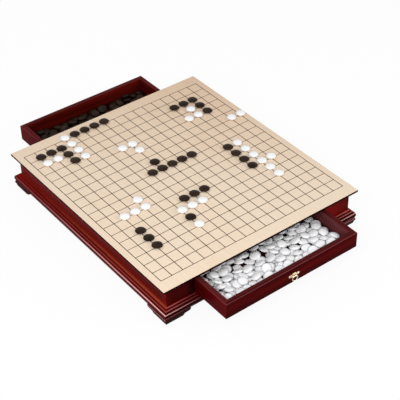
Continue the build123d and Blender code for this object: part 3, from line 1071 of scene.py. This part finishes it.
# -------- drawers
@dataclass
class Pull:
    """A ring pull: waisted plate, two nails, an eye and its oval ring."""

    end: str
    face_y: float
    outward: int
    height: float = 45.0
    plate: float = 1.0
    axis_reach: float = 3.4
    ring_half_x: float = 5.55
    ring_half_z: float = 5.25
    bar: float = 0.9
    nail_spacing: float = 17.6
    nail_radius: float = 1.5
    nail_rise: float = 0.75
    sharp_angle: float = 50.0

    def build(self) -> None:
        """Make and dress the four parts of the pull."""
        brass = CastBrass().material()
        body = f"{self.end}_drawer"
        for part, easing in (("backplate", 0.35), ("eye", 0.25)):
            node = f"{self.end}_pull_{part}"
            piece = ease(traced(node), easing, self.sharp_angle)
            present(smooth(dress(piece, brass)), body, "brass", node)
        present(smooth(dress(self.nails(), brass), 60), body, "brass", f"{self.end}_pull_nails")
        present(smooth(dress(self.ring(), brass), 80), f"{self.end}_pull", "brass", f"{self.end}_pull_ring")

    def ring(self) -> bpy.types.Object:
        """The oval ring hanging from the eye.

        Returns:
            The ring.
        """
        deselect()
        middle_y = self.face_y + self.outward * self.axis_reach
        middle = Vector((0.0, middle_y, self.height - self.ring_half_z)) * MM
        bpy.ops.mesh.primitive_torus_add(
            location=middle, rotation=(math.pi / 2, 0.0, 0.0), major_segments=40, minor_segments=14,
            major_radius=self.ring_half_x * MM, minor_radius=self.bar * MM,
        )
        piece = settle(f"{self.end}_pull_ring_round")
        with editing(piece):
            bpy.ops.mesh.select_all(action="SELECT")
            narrow = (1.0, 1.0, self.ring_half_z / self.ring_half_x)
            bpy.ops.transform.resize(value=narrow, center_override=middle)
            face_outwards()
        return piece

    def nails(self) -> bpy.types.Object:
        """The domed heads of the two nails.

        Returns:
            Both heads as one piece.
        """
        heads = []
        plate_y = self.face_y + self.outward * self.plate
        for sign in (-1, 1):
            deselect()
            foot = Vector((sign * self.nail_spacing / 2, plate_y, self.height)) * MM
            bpy.ops.mesh.primitive_uv_sphere_add(
                segments=20, ring_count=12, radius=self.nail_radius * MM, location=foot,
                rotation=(math.pi / 2, 0.0, 0.0),
            )
            head = settle(f"{self.end}_nail")
            with editing(head):
                bpy.ops.mesh.select_all(action="SELECT")
                flat = (1.0, self.nail_rise / self.nail_radius, 1.0)
                bpy.ops.transform.resize(value=flat, center_override=foot)
                bpy.ops.mesh.bisect(
                    plane_co=foot, plane_no=(0.0, self.outward, 0.0), use_fill=True, clear_inner=True,
                )
                face_outwards()
            heads.append(head)
        take(heads[0])
        heads[1].select_set(True)
        bpy.ops.object.join()
        heads[0].name = f"{self.end}_pull_nails_domed"
        return heads[0]


@dataclass
class Drawer:
    """One stone drawer: four mitred walls with a rounded rim, a bottom and a pull."""

    end: str
    outward: int
    opening: float
    half_x: float = 142.2
    half_y: float = 111.25
    cabinet_half_y: float = WALL_Y
    base: float = 29.4
    height: float = 31.1
    wall: float = 10.0
    groove: float = 3.5
    groove_low: float = 31.4
    floor_top: float = 34.0
    rim: float = 1.3
    inner_rim: float = 0.6
    least_rise: float = 0.95  # of a face's normal, where the face counts as the rim's top
    most_inward: float = -0.3  # of a face's normal along its side, where it counts as the lining
    lining: Lacquer = RED_INNER

    @property
    def face_y(self) -> float:
        """Where the face with the pull stands."""
        return self.outward * (self.cabinet_half_y + self.opening)

    def profile(self) -> tuple[Point, ...]:
        """A wall's section.

        Returns:
            Points (outward, up) of its outside, rounded rim, inside and groove for the bottom.
        """
        top = self.base + self.height
        crest = self.inner_rim - self.wall
        slot = self.groove - self.wall
        return (
            (0.0, self.base),
            (0.0, top - self.rim),
            *bow((0.0, top - self.rim), (-self.rim, top), -QUARTER_BOW * self.rim, 8),
            (crest, top),
            *bow((crest, top), (-self.wall, top - self.inner_rim), -QUARTER_BOW * self.inner_rim, 4),
            (-self.wall, self.floor_top),
            (slot, self.floor_top),
            (slot, self.groove_low),
            (-self.wall, self.groove_low),
            (-self.wall, self.base),
        )

    def build(self) -> None:
        """Make and dress the walls, the bottom and the pull."""
        centre = self.face_y - self.outward * self.half_y
        run = Run(self.half_x, self.half_y, centre, self.profile())
        outer, inner = (Side.FRONT, Side.BACK) if self.outward < 0 else (Side.BACK, Side.FRONT)
        walls = {outer: "face", inner: "back_wall", Side.LEFT: "left_wall", Side.RIGHT: "right_wall"}
        boards = run.sides({side: f"{self.end}_drawer_{wall}_rounded" for side, wall in walls.items()})
        for side, wall in walls.items():
            self.dress_wall(boards[side], side)
            present(boards[side], f"{self.end}_drawer", "mahogany", f"{self.end}_drawer_{wall}")
        dress(frame["nodes"][f"{self.end}_drawer_bottom"], DARK_STAIN.material(Grain.ALONG_X))
        Pull(self.end, self.face_y, self.outward).build()

    def dress_wall(self, board: bpy.types.Object, side: Side) -> None:
        """Give a wall its outer, upper and inner finishes, with the painted highlight, painted shade and
        painted reflection they carry.

        Args:
            board: The wall.
            side: The side it stands on.
        """
        outside = END_WALL if side.grain is Grain.ALONG_X else SIDE_WALL
        dress(board, *(finish.material(side.grain) for finish in (outside, CREST, self.lining)))
        for face in board.data.polygons:
            if face.normal.z > self.least_rise and face.center.z > (self.floor_top + 1.0) * MM:
                face.material_index = 1
            elif face.normal.xy.dot(Vector(side.value)) < self.most_inward:
                face.material_index = 2


# -------- stones
@dataclass
class StoneSet:
    """All the stones of one CAD node, each a smooth lens where the CAD stone lies."""

    node: str
    body: str
    slot: str
    finish: StoneFinish
    radius: float = 9.75
    segments: int = 16
    pole: Point = (3.2, 2.9)
    shoulder: Point = (7.3, 2.0)

    def build(self) -> None:
        """Copy the lens to every CAD stone and join the copies."""
        lens = self.lens()
        copies = []
        for place in self.places():
            copy = bpy.data.objects.new(f"{self.node}_lens", lens.data.copy())
            bpy.context.scene.collection.objects.link(copy)
            copy.data.transform(place)
            copies.append(copy)
        bpy.data.objects.remove(lens)
        take(copies[0])
        for copy in copies:
            copy.select_set(True)
        bpy.ops.object.join()
        piece = copies[0]
        piece.name = f"{self.node}_lenses"
        dress(piece, self.finish.material())
        present(smooth(piece, 180), self.body, self.slot, self.node)

    def lens(self) -> bpy.types.Object:
        """One stone round the origin: a disc drawn up twice to a small flat pole, and mirrored.

        Returns:
            The closed stone, lying flat.
        """
        deselect()
        bpy.ops.mesh.primitive_circle_add(vertices=self.segments, radius=self.radius * MM, fill_type="NGON")
        piece = settle("lens")
        reach, height = self.radius, 0.0
        with editing(piece):
            bpy.ops.mesh.select_all(action="SELECT")
            for across, up in (self.shoulder, self.pole):
                rise = (0.0, 0.0, (up - height) * MM)
                bpy.ops.mesh.extrude_region_move(TRANSFORM_OT_translate={"value": rise})
                ratio = across / reach
                bpy.ops.transform.resize(value=(ratio, ratio, 1.0), center_override=(0.0, 0.0, up * MM))
                reach, height = across, up
            select(piece, "FACE", lambda centre, _normal: centre.z < 1e-6)
            bpy.ops.mesh.delete(type="ONLY_FACE")
        mirror = piece.modifiers.new("mirror", "MIRROR")
        mirror.use_axis = (False, False, True)
        mirror.merge_threshold = 1e-5
        apply_modifiers(piece)
        with editing(piece):
            face_outwards()
        return piece

    def places(self) -> list[Matrix]:
        """Where each CAD stone lies and how it tilts.

        Returns:
            A matrix for each stone, taking the origin and +Z to its centre and its axis.
        """
        found = []
        for corners in self._loose_stones():
            centre = corners.mean(0)
            axis = np.linalg.svd(corners - centre)[2][2]
            turn = Vector(axis if axis[2] > 0 else -axis).to_track_quat("Z", "Y").to_matrix().to_4x4()
            found.append(Matrix.Translation(centre) @ turn)
        return found

    def _loose_stones(self) -> list[np.ndarray]:
        """Find the separate stones in the CAD node, by the corners that their faces share.

        Returns:
            An array of corners, in metres, for each stone.
        """
        mesh = frame["nodes"][self.node].data
        spots = np.round(np.array([vertex.co for vertex in mesh.vertices]) / MM, 3)
        corners, index = np.unique(spots, axis=0, return_inverse=True)
        group = np.arange(len(corners))
        faces = np.array([[index[v] for v in face.vertices] for face in mesh.polygons])
        settled = False
        while not settled:
            lowest = group[faces].min(1)
            before = group.copy()
            for column in faces.T:
                np.minimum.at(group, column, lowest)
            settled = bool((before == group).all())
        return [corners[group == label] * MM for label in np.unique(group)]


# -------- studio
@dataclass(frozen=True)
class Lamp:
    """A square soft lamp, with its side in metres and its power in watts."""

    name: str
    place: Spot
    side: float
    power: float
    target: Spot = (0.0, 0.0, 0.05)

    def hang(self) -> None:
        """Add the lamp, turned towards the board."""
        deselect()
        bpy.ops.object.light_add(type="AREA", location=self.place)
        lamp = bpy.context.object
        lamp.name = self.name
        lamp.data.size = self.side
        lamp.data.energy = self.power
        aim = Vector(self.target) - Vector(self.place)
        lamp.rotation_euler = aim.to_track_quat("-Z", "Y").to_euler()


@dataclass
class Studio:
    """The floor, the lamps, the white surroundings and the camera."""

    eye: Spot = (-0.95644, -1.33728, 1.31858)
    forward: Spot = (0.468043, 0.626173, -0.623573)
    roll: float = -1.238
    lens: float = 103.15
    sensor: float = 36.0
    farthest: float = 50.0
    floor_side: float = 14.0
    floor_drop: float = 0.0002
    floor_tint: Tone = (0.55, 0.55, 0.55, 1.0)
    floor_glow: float = 0.92
    surroundings: float = 0.41
    lamps: tuple[Lamp, ...] = (
        Lamp("key", (-1.3, -1.2, 1.6), 1.4, 30.0),
        Lamp("fill", (1.3, -1.7, 1.0), 1.2, 14.0),
        Lamp("rim", (-0.3, 1.4, 1.8), 1.0, 7.0),
    )

    def build(self) -> None:
        """Set up everything round the object."""
        self.floor()
        self.world()
        for lamp in self.lamps:
            lamp.hang()
        self.camera()
        bpy.context.scene.view_settings.view_transform = "Standard"

    def floor(self) -> None:
        """A wide pale floor that keeps a soft shadow."""
        deselect()
        bpy.ops.mesh.primitive_plane_add(size=self.floor_side, location=(0.0, 0.0, -self.floor_drop))
        plane = settle("floor")
        recipe = Recipe("pale_floor")
        shown = recipe.shown()
        tint = recipe.blend(shown, self.floor_tint, WHITE)
        matt = recipe.node("BsdfDiffuse", {"Color": tint})
        white = recipe.node("Emission", {"Color": WHITE, "Strength": 1.0})
        share = recipe.maths("MULTIPLY", shown, self.floor_glow)
        mixed = recipe.node("MixShader", {0: share, 1: matt.outputs[0], 2: white.outputs[0]})
        recipe.node("OutputMaterial", {"Surface": mixed.outputs[0]})
        dress(plane, recipe.material)

    def world(self) -> None:
        """Even light from all round, white where it is seen directly."""
        world = bpy.data.worlds.new("surroundings")
        bpy.context.scene.world = world
        recipe = Recipe("surroundings", world)
        dim = recipe.node("Background", {"Color": WHITE, "Strength": self.surroundings})
        white = recipe.node("Background", {"Color": WHITE, "Strength": 1.0})
        mixed = recipe.node("MixShader", {0: recipe.shown(), 1: dim.outputs[0], 2: white.outputs[0]})
        recipe.node("OutputWorld", {"Surface": mixed.outputs[0]})

    def camera(self) -> None:
        """The camera, where the photograph was taken from."""
        deselect()
        bpy.ops.object.camera_add(location=self.eye)
        camera = bpy.context.object
        camera.name = "camera"
        camera.rotation_mode = "QUATERNION"
        level = Vector(self.forward).to_track_quat("-Z", "Y")
        camera.rotation_quaternion = level @ Quaternion((0.0, 0.0, 1.0), math.radians(self.roll))
        camera.data.lens = self.lens
        camera.data.sensor_width = self.sensor
        camera.data.clip_end = self.farthest
        bpy.context.scene.camera = camera


def main() -> None:
    """Build the object class by class, then the studio."""
    logging.basicConfig(level=logging.INFO, format="%(message)s")
    black = StoneFinish("black_slate", colour(32, 20, 13), colour(48, 33, 24), 0.38, 0.08)
    white = StoneFinish("white_shell", colour(252, 252, 253), colour(247, 247, 249), 0.30, 0.5)
    Board().build()
    Cabinet().build()
    Base().build()
    Drawer("front", -1, 81.8, lining=INNER_PAINTED_REFLECTION).build()
    Drawer("back", 1, 96.0).build()
    StoneSet("board_black_stones", "cabinet", "black_stone", black).build()
    StoneSet("board_white_stones", "cabinet", "white_stone", white).build()
    StoneSet("front_drawer_white_stones", "front_drawer", "white_stone", white).build()
    StoneSet("back_drawer_black_stones", "back_drawer", "black_stone", black).build()
    Studio().build()


if __name__ == "__main__":
    main()
